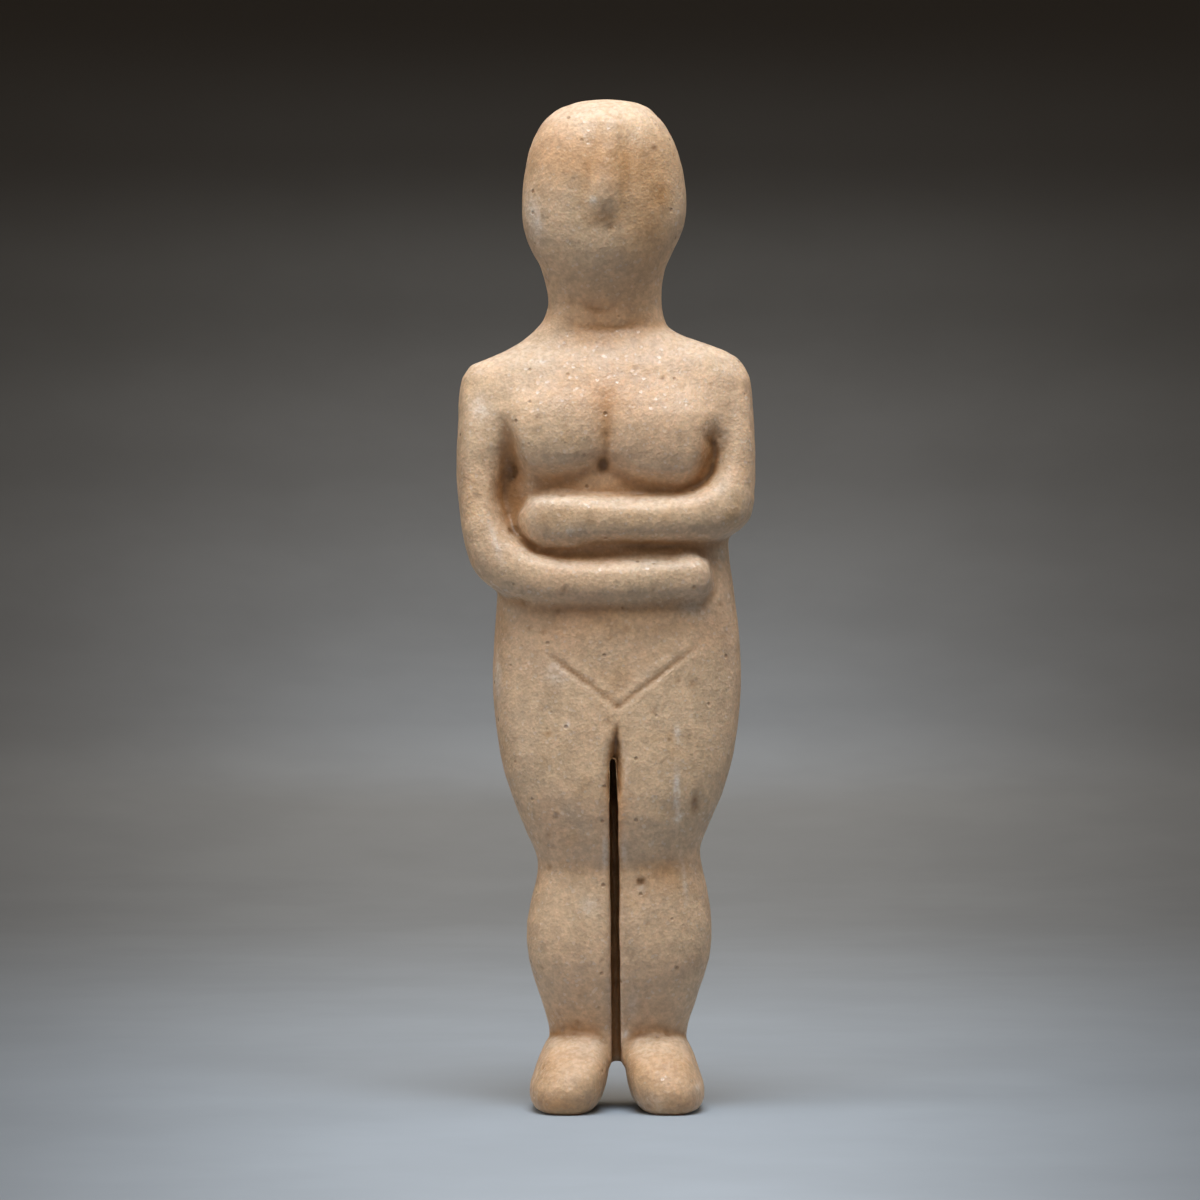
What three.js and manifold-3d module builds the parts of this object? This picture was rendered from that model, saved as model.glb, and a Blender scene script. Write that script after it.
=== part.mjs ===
// A folded-arm marble figurine in the Cycladic manner, carved from one block and standing on its own feet.
// Millimetres, +Z up. The figure faces -Y, so its right arm is on the -X side. The origin is on the ground,
// under the middle of the figure's bounding box.
import * as THREE from "three";
import { mergeVertices } from "three/addons/utils/BufferGeometryUtils.js";
import Module from "manifold-3d";

const wasm = await Module();
wasm.setup();

// ---- Driving dimensions ------------------------------------------------------------------------------

const HEIGHT = 300; // crown to ground

// Horizontal sections of the body without its arms and relief, from the ankles up:
// height, reach to the -X side, to the +X side, to the front and to the back, and squareness (2 = ellipse).
const BODY = {
  leg_end: [13.6, 16.8, 23.0, 11.0, 14.0, 2.6],
  ankle: [24.5, 17.0, 24.4, 10.0, 13.8, 2.6],
  above_ankle: [29.0, 18.3, 25.9, 12.0, 14.8, 2.6],
  low_calf: [36.4, 20.7, 28.3, 15.3, 16.8, 2.7],
  calf_swell: [44.5, 23.0, 30.9, 17.2, 18.8, 2.8],
  calf: [53.0, 23.8, 31.6, 17.3, 19.8, 2.8],
  high_calf: [61.5, 22.4, 30.9, 16.3, 18.8, 2.8],
  below_knee: [68.0, 20.7, 29.5, 15.3, 16.8, 2.8],
  knee: [72.5, 20.2, 28.4, 15.3, 15.6, 2.7],
  above_knee: [77.2, 21.4, 27.9, 17.1, 15.6, 2.7],
  low_thigh: [83.0, 24.2, 30.0, 19.1, 17.0, 2.7],
  mid_thigh: [92.0, 27.6, 34.0, 20.6, 19.2, 2.8],
  thigh: [105.0, 31.4, 38.0, 20.2, 21.6, 2.8],
  hip: [124.0, 33.6, 40.2, 18.2, 23.0, 2.7],
  belly: [140.0, 33.4, 39.9, 16.9, 20.8, 2.6],
  waist: [152.0, 32.5, 38.5, 16.4, 18.2, 2.6],
  under_arms: [166.0, 31.8, 36.6, 14.6, 17.2, 2.6],
  ribs: [183.0, 34.2, 36.4, 13.6, 17.4, 2.8],
  chest: [197.0, 37.8, 38.6, 19.0, 18.2, 2.8],
  shoulder: [209.0, 40.8, 41.2, 17.2, 18.0, 2.7],
  shoulder_top: [217.0, 41.9, 42.2, 14.0, 16.8, 2.6],
  shoulder_slope: [221.6, 39.3, 40.8, 11.8, 15.4, 2.5],
  collar: [224.6, 32.2, 37.8, 10.0, 14.6, 2.4],
  neck_root: [227.6, 26.2, 30.2, 8.2, 13.8, 2.3],
  low_neck: [231.4, 21.5, 19.9, 7.0, 13.0, 2.2],
  neck: [235.5, 18.3, 17.2, 7.2, 12.6, 2.2],
  mid_neck: [240.0, 17.3, 16.5, 8.5, 12.4, 2.2],
  throat: [245.0, 17.9, 16.7, 11.4, 12.4, 2.2],
  jaw: [250.5, 19.6, 17.9, 14.9, 13.0, 2.3],
  chin: [256.0, 22.7, 20.5, 16.9, 14.4, 2.4],
  cheek: [262.5, 24.7, 23.3, 17.8, 16.2, 2.5],
  face: [270.0, 25.1, 24.0, 18.3, 17.6, 2.5],
  brow: [279.0, 24.1, 22.9, 18.0, 18.0, 2.5],
  forehead: [287.0, 22.3, 20.6, 16.7, 17.2, 2.5],
  high_forehead: [292.0, 19.8, 17.9, 14.6, 15.6, 2.5],
  crown_edge: [296.0, 15.9, 14.2, 11.0, 12.8, 2.4],
  crown: [299.0, 9.2, 9.2, 5.0, 9.4, 2.2],
  top: [HEIGHT, 1.0, 1.0, -2.8, 4.6, 2.0],
};

// Rounded ridges that stand out of the body. Each knot is: x, z, half width, y of the middle, half depth.
const RIGHT_ARM = [
  [-34.9, 213.0, 8.8, 1.2, 10.6], // shoulder
  [-37.5, 200.0, 6.9, -0.6, 13.0],
  [-37.6, 188.0, 6.8, -1.2, 13.2],
  [-37.0, 178.0, 6.5, -2.4, 13.4],
  [-35.6, 170.6, 6.8, -4.6, 12.8],
  [-30.8, 162.7, 8.2, -8.0, 11.2], // elbow
  [-22.0, 158.0, 7.4, -11.0, 9.2],
  [-8.0, 156.4, 6.7, -13.0, 7.8],
  [8.0, 156.5, 6.4, -13.6, 7.2],
  [25.0, 157.6, 6.5, -12.8, 6.8], // hand
];
const LEFT_ARM = [
  [35.3, 213.0, 8.5, 1.2, 10.6], // shoulder
  [39.0, 199.0, 5.3, -0.6, 12.8],
  [38.3, 190.0, 6.1, -2.2, 12.8],
  [36.9, 184.0, 7.1, -4.4, 12.4],
  [33.6, 178.2, 8.6, -6.8, 12.0], // elbow
  [24.5, 175.6, 7.1, -10.4, 9.8],
  [10.0, 174.7, 6.3, -13.2, 7.8],
  [-6.0, 174.8, 7.0, -14.0, 7.2],
  [-15.2, 174.8, 7.8, -13.8, 7.0],
  [-19.6, 174.4, 6.0, -12.8, 6.4], // fingertips
];
const NOSE = [
  [1.6, 291.0, 2.4, -14.6, 1.6], // bridge
  [0.9, 283.0, 3.4, -15.4, 3.4],
  [-0.4, 275.0, 4.2, -15.6, 4.9],
  [-0.9, 269.2, 4.4, -15.6, 5.4], // tip
  [-1.0, 265.6, 3.2, -14.8, 3.8],
];

// Ridges of the same kind that are hollowed out of it.
const SPINE = [
  [-0.5, 221.0, 3.0, 19.2, 3.2],
  [0.5, 190.0, 3.4, 20.4, 3.2],
  [2.6, 152.0, 3.6, 21.2, 3.2],
];
const BREASTBONE = [
  [0.0, 213.0, 1.6, -19.4, 1.6],
  [-0.2, 203.0, 2.2, -21.2, 2.6],
  [-0.6, 193.0, 3.0, -20.8, 4.2],
];
const UNDER_BREASTS = [
  [-25.0, 187.6, 1.8, -17.2, 3.2],
  [-13.0, 186.8, 2.1, -18.8, 4.2],
  [-1.0, 189.4, 2.4, -18.8, 4.2],
  [11.0, 185.0, 1.8, -18.8, 4.0],
  [23.0, 184.2, 1.6, -17.2, 3.0],
];
const RIGHT_ARM_HOLLOW = [
  [-30.0, 203.0, 1.4, -16.4, 2.2],
  [-28.2, 190.5, 3.4, -15.4, 5.2],
  [-27.2, 181.0, 3.6, -15.2, 4.6],
  [-26.8, 175.4, 2.8, -15.2, 4.4],
];
const LEFT_ARM_HOLLOW = [
  [31.6, 200.5, 1.4, -15.4, 2.6],
  [31.4, 192.0, 1.9, -15.2, 4.4],
  [27.2, 185.2, 1.9, -15.2, 3.6],
];

// Low swellings on the body: middle, then radii.
const BREASTS = [
  { at: [-14.8, -9.6, 199.4], radii: [18.0, 10.4, 14.0] },
  { at: [15.4, -9.6, 198.4], radii: [18.6, 10.4, 15.0] },
];
const BUTTOCKS = [
  { at: [-11.5, 6.6, 125.0], radii: [17.5, 18.4, 25.0] },
  { at: [17.8, 6.6, 125.0], radii: [17.5, 18.4, 25.0] },
];

// The belly is cut back above two lines that meet in a V over the cleft: x and z of the V's point and ends.
const VEE = { point: [3.2, 119.6], ends: [[-19.5, 137.0], [28.8, 140.4]], depth: 0.7, slope: 2.4, fade: 26 };

// Squareness of the ridges' cross-section and ends, and of the swellings (2 = round).
const RIDGE_SQUARENESS = 2.5;
const SWELL_SQUARENESS = 2.4;

// How softly one form runs into the next.
const ARM_FILLET = 1.6;
const SWELL_FILLET = 3.0;
const NOSE_FILLET = 2.6;
const HOLLOW_FILLET = 3.2;

// Horizontal sections of the figure's right foot, from the sole up, in the same order as BODY.
const LEG_MIDDLE = 3.3; // x of the cleft between the legs, about which the feet mirror
const FOOT = {
  sole: [0.0, 22.4, -8.0, 26.4, 17.0, 2.7],
  sole_edge: [1.2, 24.8, -6.2, 28.4, 19.0, 2.7],
  low_side: [3.8, 25.9, -4.4, 29.2, 20.2, 2.7],
  widest: [7.2, 26.0, -3.2, 29.6, 20.6, 2.7],
  toe_top: [11.0, 24.7, -2.4, 27.8, 20.0, 2.7],
  instep: [15.4, 23.1, -1.9, 22.6, 18.2, 2.6],
  high_instep: [19.2, 21.3, -1.8, 15.8, 16.4, 2.5],
  ankle: [22.8, 18.6, -2.0, 9.0, 14.0, 2.4],
  inside_leg: [26.0, 14.0, -4.0, 5.0, 10.0, 2.4],
};

// The cleft between the legs is a deep saw cut in front and a shallower one behind.
const CLEFT = {
  top: 116.5,
  full_depth_at: 98,
  width: 3.0,
  lean: 0.012, // the cut wanders towards -X as it rises
  front_floor: -3.0,
  back_top: 130,
  back_floor: 6.5,
};

// Mesh rows of the body, [from, to, spacing]: closer together where the carving is finer.
const BODY_ROWS = [
  [13.6, 28, 3.6],
  [28, 66, 5.4],
  [66, 81, 2.5],
  [81, 117, 5.9],
  [117, 143, 2.9],
  [143, 149, 3],
  [149, 191, 2.1],
  [191, 221, 3.75],
  [221, 235, 2.35],
  [235, 262, 3.9],
  [262, 292, 3.75],
  [292, 299, 1.75],
];
const FRONT_COLUMNS = 36;
const BACK_COLUMNS = 13;
const CROWDING = 0.06; // how much the front columns crowd together
const CROWDED_AT = 0.62; // where they do, as a share of the way from the front to the side
const FOOT_COLUMNS = 22;
const FAN_START = 0.8; // share of the half width over which the columns' rays set out
const FAN_TURN = 4; // how late the rays turn from straight ahead to sideways
const FARTHEST = 60; // a ray's search for the surface starts this far out
const LEAST_STEP = 0.4;

// ---- Forms -------------------------------------------------------------------------------------------

// A smooth curve through rows of numbers; the first number of each row is where the row stands.
function curveThrough(rows) {
  const width = rows[0].length - 1;
  const values = rows.flatMap((row) => row.slice(1));
  const curve = new THREE.CubicInterpolant(rows.map((row) => row[0]), values, width);
  return (at) => Array.from(curve.evaluate(at));
}

// Two distances run together with a fillet of size k.
function blend(a, b, k) {
  const overlap = Math.max(k - Math.abs(a - b), 0) / k;
  return Math.min(a, b) - (overlap * overlap * k) / 4;
}

// The length of a vector in a norm that makes squarer shapes than a circle as the power grows past 2.
function squareNorm(power, ...parts) {
  return parts.reduce((sum, v) => sum + Math.abs(v) ** power, 0) ** (1 / power);
}

// One horizontal section, made from the five numbers that follow the height.
class Section {
  constructor([left, right, front, back, squareness]) {
    this.x = (right - left) / 2;
    this.y = (back - front) / 2;
    this.halfWidth = (left + right) / 2;
    this.halfDepth = (front + back) / 2;
    this.power = squareness;
  }

  // Radial distance from the section's edge, negative inside.
  distance(x, y) {
    const dx = x - this.x;
    const dy = y - this.y;
    const scale = squareNorm(this.power, dx / this.halfWidth, dy / this.halfDepth);
    return scale < 1e-6 ? -this.halfDepth : Math.hypot(dx, dy) * (1 - 1 / scale);
  }

  // The edge's point at a turn of 0 (front) to 1, by way of +X.
  edge(turn) {
    const across = Math.sin(turn * 2 * Math.PI);
    const ahead = (1 - Math.abs(across) ** this.power) ** (1 / this.power);
    const side = Math.cos(turn * 2 * Math.PI) > 0 ? -1 : 1;
    return [this.x + across * this.halfWidth, this.y + side * ahead * this.halfDepth];
  }
}

// A rounded ridge along knots that lie in a front plane.
class Ridge {
  constructor(knots, steps = 28) {
    const curve = curveThrough(knots.map((knot, i) => [i, ...knot]));
    this.points = Array.from({ length: steps + 1 }, (_, i) => curve((i / steps) * (knots.length - 1)));
  }

  distance(x, y, z) {
    let nearest = Infinity;
    for (let i = 1; i < this.points.length; i++) {
      const [ax, az, ...from] = this.points[i - 1];
      const [bx, bz, ...to] = this.points[i];
      const length = Math.hypot(bx - ax, bz - az);
      const [ux, uz] = [(bx - ax) / length, (bz - az) / length];
      const along = (x - ax) * ux + (z - az) * uz;
      const across = (x - ax) * uz - (z - az) * ux;
      const t = THREE.MathUtils.clamp(along / length, 0, 1);
      const [halfWidth, middle, halfDepth] = from.map((v, k) => THREE.MathUtils.lerp(v, to[k], t));
      const beyond = (along - t * length) / halfWidth;
      const size = squareNorm(RIDGE_SQUARENESS, beyond, across / halfWidth, (y - middle) / halfDepth);
      nearest = Math.min(nearest, (size - 1) * Math.min(halfWidth, halfDepth));
    }
    return nearest;
  }
}

// An ellipsoid's approximate distance.
function swelling({ at, radii }, x, y, z) {
  const parts = [x, y, z].map((v, k) => (v - at[k]) / radii[k]);
  return (squareNorm(SWELL_SQUARENESS, ...parts) - 1) * Math.min(...radii);
}

// How far the belly is cut back at a place on the front: full depth just above the V, fading upwards.
function bellyCut(x, z) {
  const [px, pz] = VEE.point;
  const above = VEE.ends.map(([ex, ez]) => {
    const length = Math.hypot(ex - px, ez - pz);
    return ((z - pz) * Math.abs(ex - px) - Math.abs(x - px) * (ez - pz)) / length;
  });
  const height = x < px ? above[0] : above[1];
  const [start, end] = VEE.ends.map(([ex]) => ex);
  const inside = THREE.MathUtils.smoothstep(x, start, start + 8) - THREE.MathUtils.smoothstep(x, end - 8, end);
  const rise = THREE.MathUtils.smoothstep(height, 0, VEE.slope);
  return VEE.depth * inside * rise * (1 - THREE.MathUtils.smoothstep(height, VEE.slope, VEE.fade));
}

const arms = [RIGHT_ARM, LEFT_ARM].map((knots) => new Ridge(knots));
const nose = new Ridge(NOSE, 8);
const hollows = [SPINE, BREASTBONE, UNDER_BREASTS, RIGHT_ARM_HOLLOW, LEFT_ARM_HOLLOW].map(
  (knots) => new Ridge(knots, 10),
);

// Distance from the carved body's surface at one height, negative inside.
function bodyDistance(section, x, y, z) {
  let d = section.distance(x, y);
  if (y < 0) d += bellyCut(x, z);
  for (const form of [...BREASTS, ...BUTTOCKS]) d = blend(d, swelling(form, x, y, z), SWELL_FILLET);
  for (const hollow of hollows) d = -blend(-d, hollow.distance(x, y, z), HOLLOW_FILLET);
  for (const arm of arms) d = blend(d, arm.distance(x, y, z), ARM_FILLET);
  return blend(d, nose.distance(x, y, z), NOSE_FILLET);
}

// ---- Meshing -----------------------------------------------------------------------------------------

// The outermost point of one horizontal section on a ray that sets out inside it.
function surfacePoint(section, [x, y], [dx, dy], z) {
  const at = (s) => bodyDistance(section, x + dx * s, y + dy * s, z);
  let outside = FARTHEST;
  let inside = outside;
  for (let gap = at(outside); gap > 0 && inside > 0; gap = at(inside)) {
    outside = inside;
    inside -= Math.max(gap * 0.6, LEAST_STEP);
  }
  for (let i = 0; i < 14; i++) {
    const middle = (inside + outside) / 2;
    if (at(middle) > 0) outside = middle;
    else inside = middle;
  }
  return [x + dx * outside, y + dy * outside, z];
}

// Turns of the columns round the body, closer together over the front than over the back, and closest
// where the arms' inner edges lie.
function bodyTurns() {
  const crowded = (v) => v + CROWDING * Math.sin((v * Math.PI) / CROWDED_AT);
  const front = Array.from({ length: FRONT_COLUMNS }, (_, i) => (2 * i) / FRONT_COLUMNS - 1);
  const back = Array.from({ length: BACK_COLUMNS }, (_, i) => i / BACK_COLUMNS);
  return [...front.map((v) => (crowded(v) / crowded(1)) * 0.25), ...back.map((v) => 0.25 + v / 2)];
}

// One row of the body: rays that leave its middle plane straight ahead and fan out towards both sides.
function bodyRow(section, z) {
  const sides = [-1, 1].map((side) => surfacePoint(section, [section.x, section.y], [side, 0], z)[0]);
  const middle = (sides[0] + sides[1]) / 2;
  const reach = ((sides[1] - sides[0]) / 2) * FAN_START;
  return bodyTurns().map((turn) => {
    const angle = turn * 2 * Math.PI;
    const ahead = Math.cos(angle) >= -1e-9 ? -1 : 1;
    const share = Math.abs(Math.asin(Math.sin(angle))) / (Math.PI / 2);
    const fan = (Math.PI / 2) * share ** FAN_TURN;
    const direction = [Math.sign(Math.sin(angle)) * Math.sin(fan), ahead * Math.cos(fan)];
    return surfacePoint(section, [middle + reach * Math.sin(angle), section.y], direction, z);
  });
}

function rowHeights(zones) {
  const rows = zones.flatMap(([from, to, spacing]) => {
    const count = Math.round((to - from) / spacing);
    return Array.from({ length: count }, (_, i) => from + ((to - from) * i) / count);
  });
  return [...rows, zones.at(-1)[1]];
}

// A closed skin over rows of points, with a flat floor and a pole on top. Each four-sided face is split
// along the diagonal whose middle is nearer the surface.
function skin(rows, pole, distance = () => 0) {
  const columns = rows[0].length;
  const floor = [0, 1, 2].map((k) => rows[0].reduce((sum, p) => sum + p[k], 0) / columns);
  const positions = [floor, ...rows.flat(), pole];
  const last = positions.length - 1;
  const miss = (i, j) => Math.abs(distance(...positions[i].map((v, k) => (v + positions[j][k]) / 2)));
  const index = [];
  for (let c = 0; c < columns; c++) {
    const next = (c + 1) % columns;
    index.push(0, 1 + next, 1 + c);
    index.push(last, last - columns + c, last - columns + next);
    for (let r = 0; r < rows.length - 1; r++) {
      const [a, b] = [1 + r * columns + c, 1 + r * columns + next];
      const [above_a, above_b] = [a + columns, b + columns];
      if (miss(a, above_b) <= miss(b, above_a)) index.push(a, b, above_b, a, above_b, above_a);
      else index.push(a, b, above_a, b, above_b, above_a);
    }
  }
  const geometry = new THREE.BufferGeometry().setIndex(index);
  return geometry.setAttribute("position", new THREE.Float32BufferAttribute(positions.flat(), 3));
}

function solid(geometry) {
  const bare = geometry.clone().deleteAttribute("normal").deleteAttribute("uv");
  const merged = mergeVertices(bare, 1e-4);
  const triVerts = new Uint32Array(merged.index.array);
  const vertProperties = merged.attributes.position.array;
  return new wasm.Manifold(new wasm.Mesh({ numProp: 3, vertProperties, triVerts }));
}

function geometryOf(manifold) {
  const mesh = manifold.getMesh();
  const geometry = new THREE.BufferGeometry().setIndex(new THREE.BufferAttribute(mesh.triVerts, 1));
  return geometry.setAttribute("position", new THREE.BufferAttribute(mesh.vertProperties, 3));
}

// ---- Pieces of the carving ---------------------------------------------------------------------------

function carvedBody() {
  const numbers = curveThrough(Object.values(BODY));
  const sectionAt = (z) => new Section(numbers(z));
  const rows = rowHeights(BODY_ROWS).map((z) => bodyRow(sectionAt(z), z));
  const [, , , front, back] = BODY.top;
  const pole = [0, (back - front) / 2, HEIGHT];
  return solid(skin(rows, pole, (x, y, z) => bodyDistance(sectionAt(z), x, y, z)));
}

// side is -1 for the figure's right foot and 1 for its left.
function foot(side) {
  const stations = Object.values(FOOT);
  const turns = Array.from({ length: FOOT_COLUMNS }, (_, i) => i / FOOT_COLUMNS);
  const rows = stations.map(([z, ...numbers]) => {
    const here = new Section(numbers);
    return turns.map((turn) => [...here.edge(turn), z]);
  });
  const top = new Section(stations.at(-1).slice(1));
  const geometry = skin(rows, [top.x, top.y, stations.at(-1)[0] + 1]);
  if (side > 0) {
    geometry.scale(-1, 1, 1);
    geometry.index.array.reverse();
  }
  return solid(geometry.translate(LEG_MIDDLE, 0, 0));
}

// A plate cut to an outline in the X-Z plane, from one y to another.
function plate(outline, from, to) {
  const shape = new THREE.Shape(outline.map(([x, z]) => new THREE.Vector2(x, z)));
  const geometry = new THREE.ExtrudeGeometry(shape, { depth: to - from, bevelEnabled: false });
  return solid(geometry.rotateX(Math.PI / 2).translate(0, to, 0));
}

// A plate cut to an outline in the Y-Z plane, from one x to another.
function sidePlate(outline, from, to) {
  const shape = new THREE.Shape(outline.map(([y, z]) => new THREE.Vector2(y, z)));
  const geometry = new THREE.ExtrudeGeometry(shape, { depth: to - from, bevelEnabled: false });
  return solid(geometry.rotateX(Math.PI / 2).rotateZ(Math.PI / 2).translate(from, 0, 0));
}

// The saw cut between the legs: a tapering blade, limited by how deep it runs at each height.
function cleft(top, floor, surface) {
  const half = CLEFT.width / 2;
  const widths = [[-1, half], [CLEFT.full_depth_at, half * 0.8], [top - 4, half * 0.5], [top + 1, half * 0.1]];
  const right = widths.map(([z, w]) => [LEG_MIDDLE - z * CLEFT.lean + w, z]);
  const left = widths.map(([z, w]) => [LEG_MIDDLE - z * CLEFT.lean - w, z]).reverse();
  const blade = plate([...right, ...left], -60, 60);
  const outline = [
    [surface * 60, -1],
    [floor, -1],
    [floor, CLEFT.full_depth_at],
    [surface * 21, top],
    [surface * 60, top],
  ];
  return blade.intersect(sidePlate(outline, -20, 30));
}

function carvedFigure() {
  const uncut = carvedBody().add(foot(-1)).add(foot(1));
  return uncut
    .subtract(cleft(CLEFT.top, CLEFT.front_floor, -1))
    .subtract(cleft(CLEFT.back_top, CLEFT.back_floor, 1));
}

// ---- The part ----------------------------------------------------------------------------------------

const marble = new THREE.MeshStandardMaterial({ color: 0xb89a78, roughness: 0.55, metalness: 0 });

const geometry = geometryOf(carvedFigure());
geometry.computeBoundingBox();
const box = geometry.boundingBox;
geometry.translate(-(box.min.x + box.max.x) / 2, -(box.min.y + box.max.y) / 2, -box.min.z);

const figurine = new THREE.Mesh(geometry, marble);
figurine.name = "marble_figurine";

const group = new THREE.Group();
group.add(figurine);
export default group;
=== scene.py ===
"""A folded-arm marble figurine: its carving, its stone and the studio around it.

Sizes inside the classes are in millimetres, in the frame's own axes: x runs across the
figure, z runs up from the soles, and the front faces -y. Meshes are made in metres.
"""

import logging
import math
from dataclasses import dataclass
from enum import Enum

import bmesh
import bpy
import numpy as np
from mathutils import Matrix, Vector, noise
from mathutils.kdtree import KDTree


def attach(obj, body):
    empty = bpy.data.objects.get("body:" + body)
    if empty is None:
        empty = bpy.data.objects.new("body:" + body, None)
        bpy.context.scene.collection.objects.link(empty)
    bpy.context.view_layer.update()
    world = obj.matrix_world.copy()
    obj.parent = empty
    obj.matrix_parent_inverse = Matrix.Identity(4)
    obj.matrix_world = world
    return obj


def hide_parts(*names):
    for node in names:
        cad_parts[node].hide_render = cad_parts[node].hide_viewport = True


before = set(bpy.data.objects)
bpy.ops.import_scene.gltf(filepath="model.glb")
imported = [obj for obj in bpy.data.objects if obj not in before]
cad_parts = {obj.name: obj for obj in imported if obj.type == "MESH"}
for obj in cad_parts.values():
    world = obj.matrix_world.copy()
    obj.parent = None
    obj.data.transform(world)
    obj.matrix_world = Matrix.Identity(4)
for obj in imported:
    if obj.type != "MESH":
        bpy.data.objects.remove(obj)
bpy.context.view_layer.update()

LOG = logging.getLogger("figurine")
MM = 0.001
Colour = tuple[float, float, float]
Array = np.ndarray


def smooth_step(values: Array, low: float, high: float) -> Array:
    """Runs smoothly from 0 at low to 1 at high.

    Args:
        values: The numbers to shape.
        low: Where the result is 0.
        high: Where the result is 1.

    Returns:
        An array of the same shape, from 0 to 1.
    """
    share = np.clip((values - low) / (high - low), 0.0, 1.0)
    return share * share * (3.0 - 2.0 * share)


class Profile(Enum):
    """The cross-section that a chisel line leaves."""

    GROOVE = "a rounded channel, deepest on the line"
    STEP = "full depth on the line, easing out on its left side only"


@dataclass(frozen=True)
class Cut:
    """One chisel line on the front of the figure.

    Attributes:
        name: What the line is.
        profile: Its cross-section.
        width: How far from the line its effect reaches.
        run: Points (x, z, depth) along it.
        soil_and_shade: How much dirt and painted shade lies in it, from 0 to 1.
        keen: How sharp the step's own edge is, as a share of width.
    """

    name: str
    profile: Profile
    width: float
    run: tuple[tuple[float, float, float], ...]
    soil_and_shade: float = 0.0
    keen: float = 0.22

    def samples(self, spacing: float = 0.5) -> Array:
        """Points (x, z, depth) close together on a smooth curve through the run.

        Args:
            spacing: The distance between two points.

        Returns:
            An array with one row a point.
        """
        run = np.array(self.run, float)
        if len(run) == 2:
            run = np.insert(run, 1, run.mean(0), axis=0)
        padded = np.vstack([2 * run[0] - run[1], run, 2 * run[-1] - run[-2]])
        rows = []
        for index in range(1, len(padded) - 2):
            before, start, end, after = padded[index - 1 : index + 3]
            count = max(2, int(np.hypot(*(end - start)[:2]) / spacing))
            share = np.linspace(0, 1, count, endpoint=False)[:, None]
            rows.append(
                0.5
                * (
                    2 * start
                    + (end - before) * share
                    + (2 * before - 5 * start + 4 * end - after) * share**2
                    + (3 * start - before - 3 * end + after) * share**3
                )
            )
        return np.vstack([*rows, run[-1:]])

    def effect(self, places: Array) -> Array:
        """How deep the line cuts at each place.

        Args:
            places: Rows of (x, z).

        Returns:
            The depth at each row.
        """
        line = self.samples()
        result = np.zeros(len(places))
        reach = self.width * 3.0
        near = np.all(
            (places > line[:, :2].min(0) - reach)
            & (places < line[:, :2].max(0) + reach),
            axis=1,
        )
        close = places[near]
        if not len(close):
            return result
        gaps = close[:, None, :] - line[None, :, :2]
        nearest = (gaps**2).sum(2).argmin(1)
        ahead = np.gradient(line[:, :2], axis=0)[nearest]
        ahead /= np.linalg.norm(ahead, axis=1, keepdims=True)
        gap = gaps[np.arange(len(close)), nearest]
        aside = ahead[:, 0] * gap[:, 1] - ahead[:, 1] * gap[:, 0]
        distance = np.hypot(gap[:, 0], gap[:, 1])
        depth = line[nearest, 2]
        if self.profile is Profile.STEP:
            signed = np.where(aside >= 0, distance, -distance)
            wall = 0.5 + 0.5 * np.tanh(signed / (self.keen * self.width))
            ease = np.exp(-((np.maximum(signed, 0) / self.width) ** 2))
            shape = wall * ease
        else:
            shape = np.exp(-((distance / (0.6 * self.width)) ** 2))
        result[near] = depth * shape
        return result


class Tint(Enum):
    """The kinds of patch on the stone, each one a mesh attribute; three of them also carry painted
    shade or a painted highlight.
    """

    # dirt, and painted shade in hollows and recesses
    SOIL_AND_SHADE = "soil_and_shade"
    # pale marks and crust, and painted highlight on surfaces that face up and on the nose tip
    PALE_AND_HIGHLIGHT = "pale_and_highlight"
    GREY = "grey"
    OCHRE = "ochre"
    # brown film, and painted shade in recesses, under overhangs and on the neck
    FILM_AND_SHADE = "film_and_shade"


def oval(
    places: Array,
    middle: tuple[float, float],
    across: float,
    down: float,
    turn: float,
) -> Array:
    """A soft oval, 1 at its middle and fading to nothing.

    Args:
        places: Rows of (x, z).
        middle: Its middle (x, z).
        across: Its half length along its own long axis.
        down: Its half length the other way.
        turn: Degrees from x to its long axis.

    Returns:
        One number a row, from 0 to 1.
    """
    angle = math.radians(turn)
    dx, dz = places[:, 0] - middle[0], places[:, 1] - middle[1]
    along = dx * math.cos(angle) + dz * math.sin(angle)
    off = dz * math.cos(angle) - dx * math.sin(angle)
    return np.exp(-((along / across) ** 2) - (off / down) ** 2)


@dataclass(frozen=True)
class Zone:
    """A place on the front that is rubbed smoother than the rest.

    Attributes:
        x: Its centre across.
        z: Its centre's height.
        across: Its half length along its own long axis.
        down: Its half length the other way.
        turn: Degrees from x to its long axis.
        rounds: How many times it is rubbed.
    """

    x: float
    z: float
    across: float
    down: float
    turn: float = 0.0
    rounds: int = 30

    def effect(self, places: Array) -> Array:
        """How strongly each place is rubbed, from 0 to 1."""
        return oval(places, (self.x, self.z), self.across, self.down, self.turn)


@dataclass(frozen=True)
class Patch:
    """A soft patch of colour on the front of the figure: a stain or a mark, or painted shade or a
    painted highlight.

    Attributes:
        tint: Its kind.
        x: Its centre across.
        z: Its centre's height.
        across: Its half length along its own long axis.
        down: Its half length the other way.
        turn: Degrees from x to its long axis.
        amount: Its strength at the centre.
        walls: Whether it also covers walls that face sideways.
    """

    tint: Tint
    x: float
    z: float
    across: float
    down: float
    turn: float = 0.0
    amount: float = 1.0
    walls: bool = False

    def effect(self, places: Array) -> Array:
        """The patch's strength at each place.

        Args:
            places: Rows of (x, z).

        Returns:
            One number a row, from 0 to amount.
        """
        return self.amount * oval(
            places, (self.x, self.z), self.across, self.down, self.turn
        )


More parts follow.
